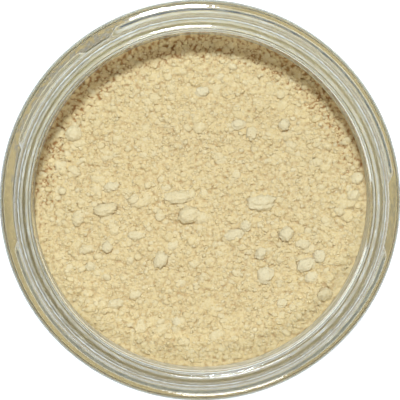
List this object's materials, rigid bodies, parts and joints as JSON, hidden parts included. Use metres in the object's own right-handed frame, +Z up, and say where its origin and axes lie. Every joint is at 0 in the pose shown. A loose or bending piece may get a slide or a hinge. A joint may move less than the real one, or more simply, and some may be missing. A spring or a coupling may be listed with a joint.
{
  "type": "open glass jar of maca root powder",
  "caption": "Open round clear glass jar with a wide mouth and a screw neck, filled up to its neck with pale cream maca root powder.",
  "frame": {"origin": "middle of the base, on the surface that the jar stands on", "axes": "+Z up through the mouth, along the jar's axis; the mould seams lie on the +X and -X sides; +Y is the top of the picture"},
  "size_m": [0.0736, 0.0736, 0.0476],
  "materials": {
    "glass": "clear colourless pressed container glass, smooth and glossy, slightly wavy, with fine mould seams",
    "root_powder": "fine dry ground root, matt pale cream yellow with soft clumps and crumb"
  },
  "bodies": {
    "root": {"jar": "glass", "powder": "root_powder"}
  },
  "joints": []
}
